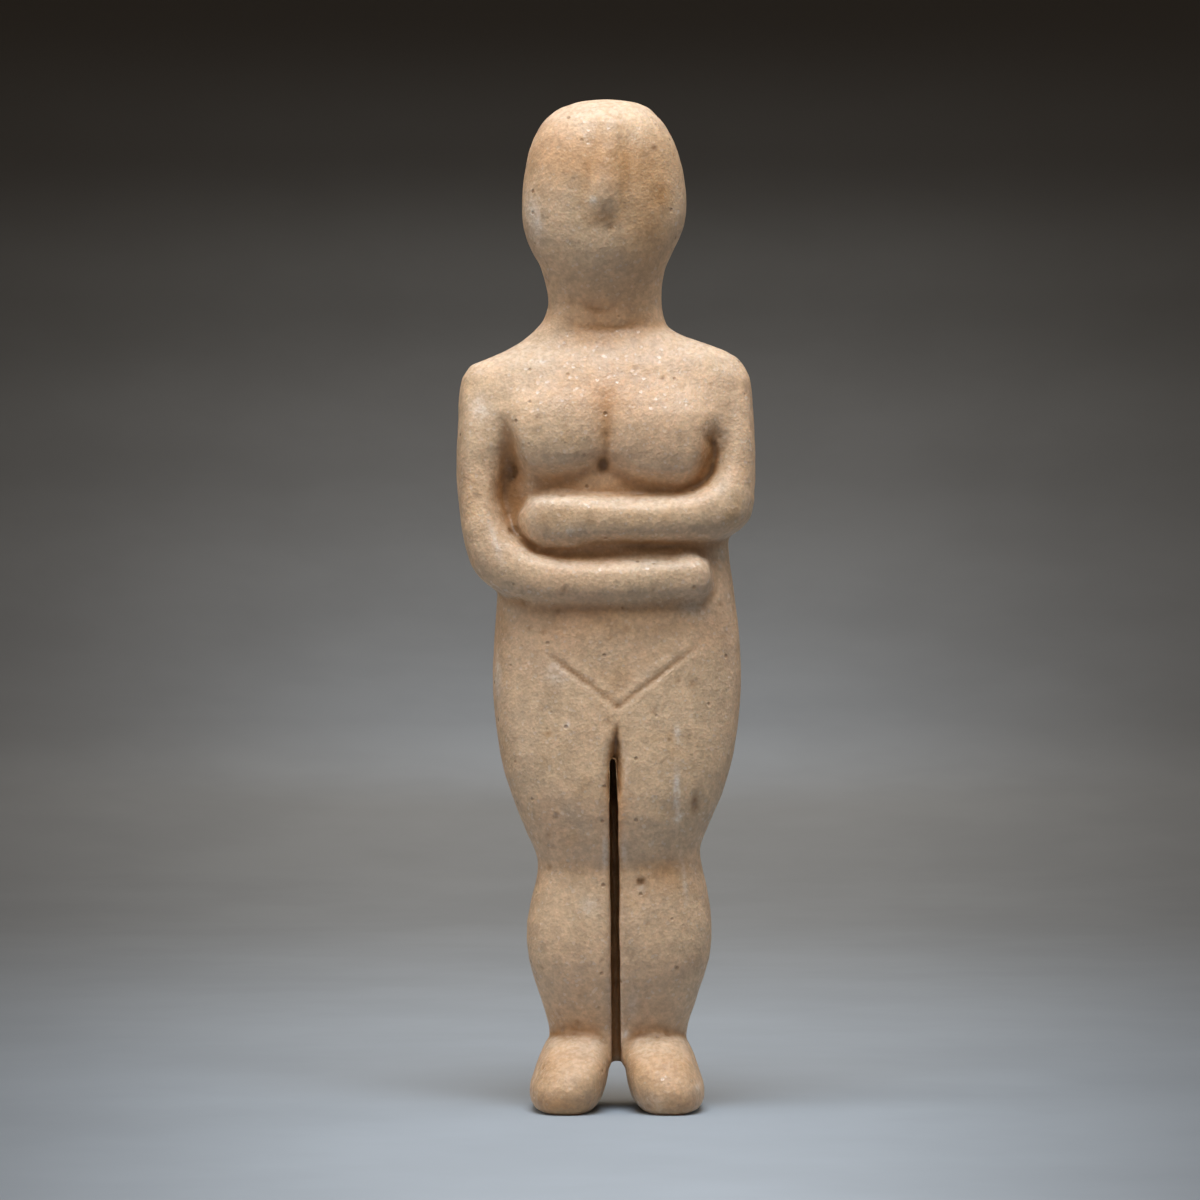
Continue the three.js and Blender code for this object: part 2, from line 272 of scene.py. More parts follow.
class Skin:
    """The figure's surface as arrays, in millimetres, while it is carved."""

    def __init__(self, mesh: bpy.types.Mesh) -> None:
        """Reads the mesh.

        Args:
            mesh: The mesh to carve, in metres.
        """
        self.mesh = mesh
        count = len(mesh.vertices)
        places = np.empty(count * 3, np.float32)
        mesh.vertices.foreach_get("co", places)
        self.co = places.reshape(-1, 3).astype(float) / MM
        edges = np.empty(len(mesh.edges) * 2, np.int32)
        mesh.edges.foreach_get("vertices", edges)
        self.edges = edges.reshape(-1, 2)
        self.degree = np.bincount(self.edges.ravel(), minlength=count)
        self.tints = {tint: np.zeros(count) for tint in Tint}
        self.normals = np.zeros((count, 3))
        self.write()

    def write(self) -> None:
        """Puts the carved places back in the mesh and reads its normals again."""
        self.mesh.vertices.foreach_set(
            "co", (self.co * MM).astype(np.float32).ravel()
        )
        self.mesh.update()
        normals = np.empty(len(self.co) * 3, np.float32)
        self.mesh.vertices.foreach_get("normal", normals)
        self.normals = normals.reshape(-1, 3).astype(float)

    def mean_of_neighbours(self, values: Array) -> Array:
        """The mean of each vertex's neighbours.

        Args:
            values: One row a vertex.

        Returns:
            An array of the same shape.
        """
        first, second = self.edges.T
        total = np.zeros_like(values)
        for axis in range(values.shape[1]):
            column = values[:, axis]
            total[:, axis] = np.bincount(
                first, column[second], len(values)
            ) + np.bincount(second, column[first], len(values))
        return total / self.degree[:, None]

    def smoothed(self, rounds: int) -> Array:
        """The places after plain smoothing.

        Args:
            rounds: How many times.

        Returns:
            The smoothed places.
        """
        result = self.co
        for _ in range(rounds):
            result = result + 0.5 * (self.mean_of_neighbours(result) - result)
        return result

    def relax(self, rounds: int, weight: Array, hold: float = 0.51) -> None:
        """Smooths without shrinking, most where weight is 1.

        Args:
            rounds: How many pairs of a shrinking and a growing step.
            weight: One number a vertex, from 0 to 1.
            hold: The growing step.
        """
        share = weight[:, None]
        for _ in range(rounds):
            for step in (0.5, -hold):
                moved = self.mean_of_neighbours(self.co) - self.co
                self.co = self.co + step * share * moved

    @property
    def front(self) -> Array:
        """How far each vertex faces the front, from 0 to 1."""
        return smooth_step(-self.normals[:, 1], 0.05, 0.45)

    @property
    def flat(self) -> Array:
        """Rows of (x, z)."""
        return self.co[:, [0, 2]]

    def cut(self, line: Cut) -> None:
        """Presses one line into the front.

        Args:
            line: The chisel line.
        """
        depth = line.effect(self.flat) * self.front
        self.co[:, 1] += depth
        # the dirt laid in a line is also painted shade where the line is a recess
        if line.soil_and_shade:
            peak = max(abs(d) for _, _, d in line.run)
            self.tints[Tint.SOIL_AND_SHADE] += line.soil_and_shade * np.clip(depth / peak, 0, 1)

    def tint(self, patch: Patch) -> None:
        """Lays one patch of colour on the front.

        Args:
            patch: The patch.
        """
        reach = smooth_step(-self.co[:, 1], -4.0, 2.0) if patch.walls else self.front
        self.tints[patch.tint] += patch.effect(self.flat) * reach

    def rub(self, zone: Zone) -> None:
        """Rubs one zone of the front smooth.

        Args:
            zone: The zone.
        """
        share = (0.5 * zone.effect(self.flat) * self.front)[:, None]
        for _ in range(zone.rounds):
            self.co = self.co + share * (self.mean_of_neighbours(self.co) - self.co)

    def dome(self, lift: float, width: float) -> None:
        """Raises the middle of the crown a little.

        Args:
            lift: How much at the middle.
            width: How far the rise reaches to each side.
        """
        high = smooth_step(self.co[:, 2], 286.0, 299.0)
        self.co[:, 2] += lift * np.exp(-((self.co[:, 0] / width) ** 2)) * high

    def ripple(self, size: float, depth: float, seed: float) -> None:
        """Gives the surface the slow unevenness that hand tools leave.

        Args:
            size: The distance between two swellings.
            depth: Their greatest height.
            seed: Picks the pattern.
        """
        shift = Vector((seed, seed * 0.7, -seed))
        heights = np.array(
            [noise.noise(Vector(place) / size + shift) for place in self.co]
        )
        keep = smooth_step(self.co[:, 2], 1.0, 6.0)
        self.co += self.normals * (heights * depth * keep)[:, None]

    def pock(self, count: int, radius: float, depth: float, seed: int) -> None:
        """Breaks small pits out of the surface.

        Args:
            count: How many.
            radius: The usual radius.
            depth: The usual depth.
            seed: Picks their places.
        """
        rng = np.random.default_rng(seed)
        tree = KDTree(len(self.co))
        for index, place in enumerate(self.co):
            tree.insert(place, index)
        tree.balance()
        press = np.zeros(len(self.co))
        for index in rng.choice(len(self.co), count, replace=False):
            size = radius * rng.uniform(0.6, 1.5)
            deep = depth * rng.uniform(0.4, 1.4)
            if self.co[index, 2] < 4.0:
                continue
            for _, other, away in tree.find_range(self.co[index], size * 2):
                press[other] = max(press[other], deep * math.exp(-((away / size) ** 2)))
        self.co -= self.normals * press[:, None]
        self.tints[Tint.SOIL_AND_SHADE] += 0.22 * press / depth

    def hollowness(self, rounds: int, scale: float) -> Array:
        """How hollow the surface is at each vertex.

        Args:
            rounds: How wide a neighbourhood is looked at.
            scale: The depth that counts as 1.

        Returns:
            Positive numbers in hollows and negative ones on edges.
        """
        away = self.smoothed(rounds) - self.co
        return (away * self.normals).sum(1) / scale


@dataclass
class Figurine:
    """The carved figure, one piece of marble.

    Attributes:
        node: The solid that it stands for.
        body: What it rides on.
        slot: The record's material slot; not used.
        grain: The distance between two vertices.
        zones: The places rubbed smoother, before the lines are cut.
        cuts: The chisel lines, in the order they are made.
        patches: The patches of colour, of painted shade and of painted highlight.
        facet_rounds: How often the whole surface is rubbed.
        back_rounds: How often the plain back is rubbed besides.
        crown_lift: How much the crown's middle is raised.
        crown_width: How far that rise reaches to each side.
        pits: How many small pits there are.
    """

    node: str = "marble_figurine"
    body: str = "root"
    slot: str = "marble"
    grain: float = 0.905
    zones: tuple[Zone, ...] = ()
    cuts: tuple[Cut, ...] = ()
    patches: tuple[Patch, ...] = ()
    facet_rounds: int = 14
    back_rounds: int = 150
    crown_lift: float = 0.7
    crown_width: float = 13.0
    pits: int = 240

    def build(self) -> bpy.types.Object:
        """Makes the figure's object.

        Returns:
            The carved piece, riding on its body and standing for its solid.
        """
        figure = self.even_copy()
        skin = Skin(figure.data)
        self.settle(skin)
        self.carve(skin)
        self.age(skin)
        self.colour(skin)
        for tint, values in skin.tints.items():
            layer = figure.data.attributes.new(tint.value, "FLOAT", "POINT")
            layer.data.foreach_set("value", np.clip(values, 0, 1).astype(np.float32))
        figure.data.shade_smooth()
        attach(figure, self.body)
        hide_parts(self.node)
        return figure

    def even_copy(self) -> bpy.types.Object:
        """A copy of the solid with one even net of small faces.

        Returns:
            The new object, its modifier applied.
        """
        net = bmesh.new()
        net.from_mesh(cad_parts[self.node].data)
        bmesh.ops.remove_doubles(net, verts=net.verts, dist=1e-6)
        mesh = bpy.data.meshes.new("carved_marble")
        net.to_mesh(mesh)
        net.free()
        figure = bpy.data.objects.new("carved_marble", mesh)
        bpy.context.scene.collection.objects.link(figure)
        remesh = figure.modifiers.new("even_net", "REMESH")
        remesh.mode = "VOXEL"
        remesh.voxel_size = self.grain * MM
        depsgraph = bpy.context.evaluated_depsgraph_get()
        even = bpy.data.meshes.new_from_object(figure.evaluated_get(depsgraph))
        figure.modifiers.clear()
        figure.data = even
        return figure

    def settle(self, skin: Skin) -> None:
        """Rubs the facets out of the surface, and leaves the soles flat.

        Args:
            skin: The surface.
        """
        above_sole = smooth_step(skin.co[:, 2], 0.4, 3.0)
        behind = smooth_step(skin.normals[:, 1], 0.3, 0.7)
        skin.relax(self.facet_rounds, above_sole)
        skin.write()
        for _ in range(self.back_rounds):
            moved = skin.mean_of_neighbours(skin.co) - skin.co
            skin.co += 0.5 * (behind * above_sole)[:, None] * moved
        skin.write()

    def carve(self, skin: Skin) -> None:
        """Cuts the lines that are too fine for the solid.

        Args:
            skin: The surface.
        """
        skin.dome(self.crown_lift, self.crown_width)
        for zone in self.zones:
            skin.rub(zone)
        skin.write()
        for line in self.cuts:
            skin.cut(line)
            skin.write()

    def age(self, skin: Skin) -> None:
        """Gives the surface its unevenness and its pits.

        Args:
            skin: The surface.
        """
        skin.ripple(size=13.0, depth=0.22, seed=3.1)
        skin.ripple(size=5.0, depth=0.10, seed=8.4)
        skin.pock(self.pits, radius=0.9, depth=0.22, seed=11)
        skin.write()

    def colour(self, skin: Skin) -> None:
        """Lays the patches on the front, dirt and painted shade in the hollows, paler wear on the
        edges and a painted highlight on the surfaces that face up.

        Args:
            skin: The surface.
        """
        for patch in self.patches:
            skin.tint(patch)
        small_hollow_dirt_and_shade = np.clip(skin.hollowness(8, 0.30), 0, 1)
        wide_hollow_shade = np.clip(skin.hollowness(50, 1.1), 0, 1)
        edge = np.clip(-skin.hollowness(12, 0.5) - 0.35, 0, 1)
        painted_top_highlight = smooth_step(skin.normals[:, 2], 0.30, 0.90)
        # dirt in the small hollows, and painted shade in the small and wide hollows
        skin.tints[Tint.SOIL_AND_SHADE] += 0.30 * small_hollow_dirt_and_shade + 0.12 * wide_hollow_shade
        skin.tints[Tint.FILM_AND_SHADE] += 0.35 * small_hollow_dirt_and_shade + 0.85 * wide_hollow_shade
        # paler wear on the edges, and a painted highlight on the surfaces that face up
        skin.tints[Tint.PALE_AND_HIGHLIGHT] += 0.25 * edge + 0.30 * painted_top_highlight


class Graph:
    """Adds nodes to one tree and wires them."""

    def __init__(self, tree: bpy.types.NodeTree) -> None:
        """Starts on a tree.

        Args:
            tree: The tree to fill.
        """
        self.tree = tree
        self.count = 0

    def add(self, kind: str, **settings: object) -> bpy.types.Node:
        """A new node.

        Args:
            kind: Its type's name, without ShaderNode.
            settings: Its own properties, by name.

        Returns:
            The node.
        """
        node = self.tree.nodes.new(kind if kind.startswith("Node") else "ShaderNode" + kind)
        node.location = (200 * (self.count % 12), -260 * (self.count // 12))
        self.count += 1
        for name, value in settings.items():
            setattr(node, name, value)
        return node

    def feed(self, socket: bpy.types.NodeSocket, value: object) -> None:
        """Gives a socket a link or a value.

        Args:
            socket: The input.
            value: An output socket, a number or a colour.
        """
        if isinstance(value, bpy.types.NodeSocket):
            self.tree.links.new(value, socket)
        elif isinstance(value, tuple) and len(value) == 3 and socket.type == "RGBA":
            socket.default_value = (*value, 1.0)
        else:
            socket.default_value = value

    def math(
        self,
        operation: str,
        a: object,
        b: object = 0.0,
        c: float = 0.0,
        clamp: bool = False,
    ) -> bpy.types.NodeSocket:
        """One step of arithmetic.

        Args:
            operation: The node's operation.
            a: The first number or socket.
            b: The second.
            c: The third, where the operation takes one.
            clamp: Whether the result stays from 0 to 1.

        Returns:
            The result.
        """
        node = self.add("Math", operation=operation, use_clamp=clamp)
        self.feed(node.inputs[0], a)
        self.feed(node.inputs[1], b)
        self.feed(node.inputs[2], c)
        return node.outputs[0]

    def mix(self, share: object, a: object, b: object, way: str = "MIX") -> bpy.types.NodeSocket:
        """Two colours mixed.

        Args:
            share: How much of b.
            a: The first colour.
            b: The second colour.
            way: The blend type.

        Returns:
            The mixed colour.
        """
        node = self.add("Mix", data_type="RGBA", blend_type=way, clamp_factor=True)
        self.feed(node.inputs[0], share)
        self.feed(node.inputs[6], a)
        self.feed(node.inputs[7], b)
        return node.outputs[2]

    def group(self, tree: bpy.types.NodeTree, **values: object) -> bpy.types.Node:
        """A group placed with its own values.

        Args:
            tree: The group's tree.
            values: Its inputs, by name with _ for a space.

        Returns:
            The group's node.
        """
        node = self.add("Group", node_tree=tree)
        for name, value in values.items():
            self.feed(node.inputs[name.replace("_", " ")], value)
        return node


def new_group(
    name: str,
    inputs: dict[str, tuple[str, float | None]],
    outputs: dict[str, str],
) -> tuple[bpy.types.NodeTree, Graph, bpy.types.Node, bpy.types.Node]:
    """An empty node group with named sockets.

    Args:
        name: The group's name.
        inputs: Each input's socket type and its value at the start.
        outputs: Each output's socket type.

    Returns:
        The tree, its graph, its input node and its output node.
    """
    tree = bpy.data.node_groups.new(name, "ShaderNodeTree")
    for label, (kind, value) in inputs.items():
        socket = tree.interface.new_socket(label, in_out="INPUT", socket_type=kind)
        if value is not None:
            socket.default_value = value
    for label, kind in outputs.items():
        tree.interface.new_socket(label, in_out="OUTPUT", socket_type=kind)
    graph = Graph(tree)
    return tree, graph, graph.add("NodeGroupInput"), graph.add("NodeGroupOutput")


def clouds_group() -> bpy.types.NodeTree:
    """Soft clouds: a mask that runs from 0 to 1 between two levels of noise.

    Returns:
        The group's tree.
    """
    number = "NodeSocketFloat"
    tree, graph, start, end = new_group(
        "clouds",
        {
            "Vector": ("NodeSocketVector", None),
            "Scale": (number, 30.0),
            "Detail": (number, 4.0),
            "Low": (number, 0.4),
            "High": (number, 0.6),
            "Shift": (number, 0.0),
        },
        {"Mask": number, "Raw": number},
    )
    moved = graph.add("VectorMath", operation="ADD")
    graph.feed(moved.inputs[0], start.outputs["Vector"])
    graph.feed(moved.inputs[1], start.outputs["Shift"])
    texture = graph.add("TexNoise", noise_dimensions="3D")
    graph.feed(texture.inputs["Vector"], moved.outputs[0])
    graph.feed(texture.inputs["Scale"], start.outputs["Scale"])
    graph.feed(texture.inputs["Detail"], start.outputs["Detail"])
    graph.feed(texture.inputs["Roughness"], 0.6)
    level = graph.add("MapRange", interpolation_type="SMOOTHSTEP")
    graph.feed(level.inputs["Value"], texture.outputs[0])
    graph.feed(level.inputs["From Min"], start.outputs["Low"])
    graph.feed(level.inputs["From Max"], start.outputs["High"])
    graph.feed(end.inputs["Mask"], level.outputs[0])
    graph.feed(end.inputs["Raw"], texture.outputs[0])
    return tree


@dataclass(frozen=True)
class MarbleFinish:
    """Old marble: warm and mottled, with crystals, pits and dirt, and with painted shade, painted
    highlight and painted glints.

    Attributes:
        base: The stone's own colour.
        rose: Its warmer clouds.
        ash: Its greyer clouds.
        ochre: Its yellow stains.
        soil_and_shade: The dirt in the hollows and pits, also used as painted shade in recesses.
        film_and_shade: What a brown film leaves of the light, also used as painted shade in
            recesses, under overhangs and on the neck.
        pale_and_highlight: Fresh marks and crust, also used as painted highlight on surfaces that
            face up, on the nose tip and on glinting crystals.
        roughness: The usual roughness.
        crystal_scale: How many crystals there are in a metre.
        pit_scale: How many cells there are in a metre that may hold a pit.
        fine_scale: The fine clouds' scale.
        middle_scale: The middle clouds' scale.
        glint_share: The share of the crystals that doesn't glint; the rest get a painted glint.
        bump_strength: How strongly the fine relief shows.
        bump_height: The fine relief's height in metres.
    """

    base: Colour = (0.63, 0.445, 0.285)
    rose: Colour = (0.66, 0.435, 0.275)
    ash: Colour = (0.54, 0.395, 0.27)
    ochre: Colour = (0.50, 0.30, 0.14)
    soil_and_shade: Colour = (0.16, 0.072, 0.020)
    film_and_shade: Colour = (0.82, 0.63, 0.42)
    pale_and_highlight: Colour = (0.78, 0.72, 0.66)
    roughness: float = 0.56
    crystal_scale: float = 1150.0
    pit_scale: float = 190.0
    fine_scale: float = 620.0
    middle_scale: float = 190.0
    glint_share: float = 0.955
    bump_strength: float = 0.55
    bump_height: float = 0.0006

    def build(self, clouds: bpy.types.NodeTree) -> bpy.types.Material:
        """Makes the material.

        Args:
            clouds: The group of soft clouds.

        Returns:
            The material.
        """
        material = bpy.data.materials.new("aged_marble")
        material.use_nodes = True
        material.node_tree.nodes.clear()
        graph = Graph(material.node_tree)
        place = graph.add("TexCoord").outputs["Object"]
        middle = graph.group(
            clouds,
            Vector=place,
            Scale=self.middle_scale,
            Detail=3.0,
            Low=0.35,
            High=0.65,
            Shift=5.0,
        )
        fine = graph.group(
            clouds, Vector=place, Scale=self.fine_scale, Detail=2.0, Low=0.35, High=0.65, Shift=2.0
        )
        crystal = graph.add("TexVoronoi", feature="F1")
        graph.feed(crystal.inputs["Vector"], place)
        graph.feed(crystal.inputs["Scale"], self.crystal_scale)
        facet = graph.add("SeparateColor")
        graph.feed(facet.inputs[0], crystal.outputs["Color"])
        glint = graph.math("GREATER_THAN", facet.outputs[0], self.glint_share)
        tints = {
            tint: graph.add("Attribute", attribute_name=tint.value).outputs["Fac"]
            for tint in Tint
        }
        colour = self.stone(graph, clouds, place, tints)
        tone = graph.math("MULTIPLY_ADD", middle.outputs["Mask"], 0.16, 0.86)
        grain = graph.math("MULTIPLY_ADD", fine.outputs["Mask"], 0.16, 0.93)
        crystals = graph.math("MULTIPLY_ADD", facet.outputs[1], 0.14, 0.94)
        tone = graph.math("MULTIPLY", graph.math("MULTIPLY", tone, grain), crystals)
        colour = graph.mix(1.0, colour, tone, "MULTIPLY")
        # painted glint: the brightest crystals are mixed towards the pale colour
        colour = graph.mix(graph.math("MULTIPLY", glint, 0.20), colour, self.pale_and_highlight)
        colour = self.marks(graph, colour, tints, middle, fine)
        pit = self.pit(graph, place)
        colour = graph.mix(graph.math("MULTIPLY", pit, 0.55), colour, self.soil_and_shade)

        rough = graph.math("MULTIPLY_ADD", middle.outputs["Mask"], 0.12, self.roughness - 0.06)
        rough = graph.math("SUBTRACT", rough, graph.math("MULTIPLY", glint, 0.22))

        height = graph.math("MULTIPLY", crystal.outputs["Distance"], 0.25)
        height = graph.math("ADD", height, graph.math("MULTIPLY", fine.outputs["Raw"], 0.5))
        height = graph.math("ADD", height, graph.math("MULTIPLY", middle.outputs["Raw"], 0.9))
        height = graph.math("SUBTRACT", height, graph.math("MULTIPLY", pit, 0.9))
        bump = graph.add("Bump")
        graph.feed(bump.inputs["Strength"], self.bump_strength)
        graph.feed(bump.inputs["Distance"], self.bump_height)
        graph.feed(bump.inputs["Height"], height)

        shader = graph.add("BsdfPrincipled")
        graph.feed(shader.inputs["Base Color"], colour)
        graph.feed(shader.inputs["Roughness"], rough)
        graph.feed(shader.inputs["Normal"], bump.outputs[0])
        shader.inputs["Subsurface Weight"].default_value = 0.18
        shader.inputs["Subsurface Radius"].default_value = (1.0, 0.55, 0.3)
        shader.inputs["Subsurface Scale"].default_value = 0.002
        shader.inputs["Specular IOR Level"].default_value = 0.7
        output = graph.add("OutputMaterial")
        graph.feed(output.inputs["Surface"], shader.outputs[0])
        return material

    def stone(
        self,
        graph: Graph,
        clouds: bpy.types.NodeTree,
        place: bpy.types.NodeSocket,
        tints: dict[Tint, bpy.types.NodeSocket],
    ) -> bpy.types.NodeSocket:
        """The stone's own colour with its rose, grey and yellow clouds.

        Args:
            graph: The material's graph.
            clouds: The group of soft clouds.
            place: The place on the object.
            tints: The patches' strengths.

        Returns:
            The colour.
        """
        rose = graph.group(clouds, Vector=place, Scale=26.0, Low=0.40, High=0.66, Shift=3.0)
        ash = graph.group(clouds, Vector=place, Scale=38.0, Low=0.48, High=0.70, Shift=7.0)
        gold = graph.group(clouds, Vector=place, Scale=60.0, Low=0.54, High=0.74, Shift=1.7)
        colour = graph.mix(graph.math("MULTIPLY", rose.outputs["Mask"], 0.8), self.base, self.rose)
        grey = graph.math(
            "ADD", graph.math("MULTIPLY", ash.outputs["Mask"], 0.45), tints[Tint.GREY], clamp=True
        )
        colour = graph.mix(grey, colour, self.ash)
        yellow = graph.math(
            "ADD", graph.math("MULTIPLY", gold.outputs["Mask"], 0.45), tints[Tint.OCHRE], clamp=True
        )
        return graph.mix(yellow, colour, self.ochre)

    def marks(
        self,
        graph: Graph,
        colour: bpy.types.NodeSocket,
        tints: dict[Tint, bpy.types.NodeSocket],
        middle: bpy.types.Node,
        fine: bpy.types.Node,
    ) -> bpy.types.NodeSocket:
        """Whitish marks and painted highlight, then the brown film and painted shade, then the dirt
        and painted shade over the stone.

        Args:
            graph: The material's graph.
            colour: The stone's colour.
            tints: The patches' strengths.
            middle: Clouds a few millimetres wide.
            fine: Clouds about a millimetre wide.

        Returns:
            The colour with its marks.
        """
        crust_and_highlight_mottle = graph.math("MULTIPLY_ADD", fine.outputs["Mask"], 0.8, 0.4)
        colour = graph.mix(graph.math("MULTIPLY", tints[Tint.PALE_AND_HIGHLIGHT], crust_and_highlight_mottle), colour, self.pale_and_highlight)
        filmed_and_shaded = graph.mix(1.0, colour, self.film_and_shade, "MULTIPLY")
        colour = graph.mix(tints[Tint.FILM_AND_SHADE], colour, filmed_and_shaded)
        dirt_and_shade = graph.math("MULTIPLY_ADD", middle.outputs["Mask"], 0.7, 0.55)
        dirt_and_shade = graph.math("MULTIPLY", tints[Tint.SOIL_AND_SHADE], dirt_and_shade)
        return graph.mix(graph.math("MULTIPLY", dirt_and_shade, 0.9, clamp=True), colour, self.soil_and_shade)

    def pit(self, graph: Graph, place: bpy.types.NodeSocket) -> bpy.types.NodeSocket:
        """Small round pits, in some of the cells.

        Args:
            graph: The material's graph.
            place: The place on the object.

        Returns:
            A mask that is 1 in a pit.
        """
        pits = graph.add("TexVoronoi", feature="F1")
        graph.feed(pits.inputs["Vector"], place)
        graph.feed(pits.inputs["Scale"], self.pit_scale)
        pick = graph.add("SeparateColor")
        graph.feed(pick.inputs[0], pits.outputs["Color"])
        spot = graph.add("MapRange", interpolation_type="SMOOTHSTEP")
        graph.feed(spot.inputs["Value"], pits.outputs["Distance"])
        graph.feed(spot.inputs["From Min"], 0.16)
        graph.feed(spot.inputs["From Max"], 0.05)
        chosen = graph.math("GREATER_THAN", pick.outputs[0], 0.62)
        return graph.math("MULTIPLY", spot.outputs[0], chosen)


@dataclass(frozen=True)
class SweepFinish:
    """Studio paper with painted light: paler underfoot, darker with height and darker towards the
    sides.

    Attributes:
        steps: Pairs of (height in metres, grey), the painted light falloff from floor to wall.
        roughness: The paper's roughness.
        reach: How far in front of the origin the painted side shade is measured from, in metres.
        painted_side_shade: Where the painted side shade starts and ends, as metres aside for each
            metre away.
        painted_side_shade_left: What the painted side shade leaves of the paper's tone.
    """

    steps: tuple[tuple[float, float], ...] = (
        (0.0, 0.37),
        (0.042, 0.40),
        (0.09, 0.28),
        (0.15, 0.245),
        (0.25, 0.180),
        (0.36, 0.105),
        (0.47, 0.033),
        (0.58, 0.0045),
        (2.6, 0.0045),
    )
    roughness: float = 0.85
    reach: float = 1.5
    painted_side_shade: tuple[float, float] = (0.02, 0.15)
    painted_side_shade_left: float = 0.45

    def build(self, clouds: bpy.types.NodeTree) -> bpy.types.Material:
        """Makes the material.

        Args:
            clouds: The group of soft clouds.

        Returns:
            The material.
        """
        material = bpy.data.materials.new("studio_paper")
        material.use_nodes = True
        material.node_tree.nodes.clear()
        graph = Graph(material.node_tree)
        place = graph.add("TexCoord").outputs["Object"]
        axes = graph.add("SeparateXYZ")
        graph.feed(axes.inputs[0], place)
        top = self.steps[-1][0]
        share = graph.math("DIVIDE", axes.outputs[2], top, clamp=True)
        # painted light: the paper is paler underfoot and darker up the wall
        ramp = graph.add("ValToRGB")
        ramp.color_ramp.interpolation = "EASE"
        elements = ramp.color_ramp.elements
        while len(elements) < len(self.steps):
            elements.new(0.5)
        for element, (height, grey) in zip(elements, self.steps):
            element.position = height / top
            element.color = (grey * 0.84, grey, grey * 1.20, 1.0)
        graph.feed(ramp.inputs[0], share)
        soft = graph.group(clouds, Vector=place, Scale=9.0, Low=0.3, High=0.7)
        tone = graph.math("MULTIPLY_ADD", soft.outputs["Mask"], 0.08, 0.96)
        colour = graph.mix(1.0, ramp.outputs[0], tone, "MULTIPLY")
        # painted side shade: the paper darkens towards the sides
        depth = graph.math("MAXIMUM", graph.math("ADD", axes.outputs[1], self.reach), 0.3)
        aside = graph.math("DIVIDE", graph.math("ABSOLUTE", axes.outputs[0]), depth)
        painted_side_shade = graph.add("MapRange", interpolation_type="SMOOTHSTEP")
        graph.feed(painted_side_shade.inputs["Value"], aside)
        graph.feed(painted_side_shade.inputs["From Min"], self.painted_side_shade[0])
        graph.feed(painted_side_shade.inputs["From Max"], self.painted_side_shade[1])
        graph.feed(painted_side_shade.inputs["To Min"], 1.0)
        graph.feed(painted_side_shade.inputs["To Max"], self.painted_side_shade_left)
        colour = graph.mix(1.0, colour, painted_side_shade.outputs[0], "MULTIPLY")
        shader = graph.add("BsdfPrincipled")
        graph.feed(shader.inputs["Base Color"], colour)
        shader.inputs["Roughness"].default_value = self.roughness
        output = graph.add("OutputMaterial")
        graph.feed(output.inputs["Surface"], shader.outputs[0])
        return material


@dataclass
class Sweep:
    """The round studio floor and the wall that rises all about it.

    Attributes:
        floor_radius: Where the floor begins to rise, in metres.
        bend: The radius of the curve between floor and wall.
        height: The wall's top.
    """

    floor_radius: float = 0.9
    bend: float = 1.7
    height: float = 2.6

    def build(self) -> bpy.types.Object:
        """Makes the floor and wall.

        Returns:
            The stage object.
        """
        net = bmesh.new()
        line = [net.verts.new((0.0, 0.0, 0.0)), net.verts.new((self.floor_radius, 0.0, 0.0))]
        for step in range(1, 13):
            angle = math.radians(90 * step / 12)
            line.append(
                net.verts.new(
                    (
                        self.floor_radius + self.bend * math.sin(angle),
                        0.0,
                        self.bend * (1 - math.cos(angle)),
                    )
                )
            )
        line.append(net.verts.new((self.floor_radius + self.bend, 0.0, self.height)))
        edges = [net.edges.new(pair) for pair in zip(line, line[1:])]
        bmesh.ops.spin(
            net,
            geom=[*line, *edges],
            cent=(0, 0, 0),
            axis=(0, 0, 1),
            angle=math.tau,
            steps=96,
            use_merge=True,
        )
        bmesh.ops.remove_doubles(net, verts=net.verts, dist=1e-5)
        bmesh.ops.recalc_face_normals(net, faces=net.faces)
        mesh = bpy.data.meshes.new("studio_sweep")
        net.to_mesh(mesh)
        net.free()
        if mesh.polygons[0].normal.z < 0:
            mesh.flip_normals()
        mesh.shade_smooth()
        sweep = bpy.data.objects.new("studio_sweep", mesh)
        bpy.context.scene.collection.objects.link(sweep)
        return sweep


@dataclass(frozen=True)
class Lamp:
    """One soft light.

    Attributes:
        name: Its name.
        place: Where it hangs, in metres.
        target: What it looks at.
        size: Its sides.
        power: Its power in watts.
        colour: Its colour.
    """

    name: str
    place: tuple[float, float, float]
    target: tuple[float, float, float]
    size: tuple[float, float]
    power: float
    colour: Colour = (1.0, 1.0, 1.0)

    def build(self) -> bpy.types.Object:
        """Makes the light.

        Returns:
            The light's object.
        """
        data = bpy.data.lights.new(self.name, "AREA")
        data.shape = "RECTANGLE"
        data.size, data.size_y = self.size
        data.energy = self.power
        data.color = self.colour
        lamp = bpy.data.objects.new(self.name, data)
        aim = Vector(self.target) - Vector(self.place)
        lamp.rotation_euler = aim.to_track_quat("-Z", "Y").to_euler()
        lamp.location = self.place
        lamp.visible_camera = False
        bpy.context.scene.collection.objects.link(lamp)
        return lamp


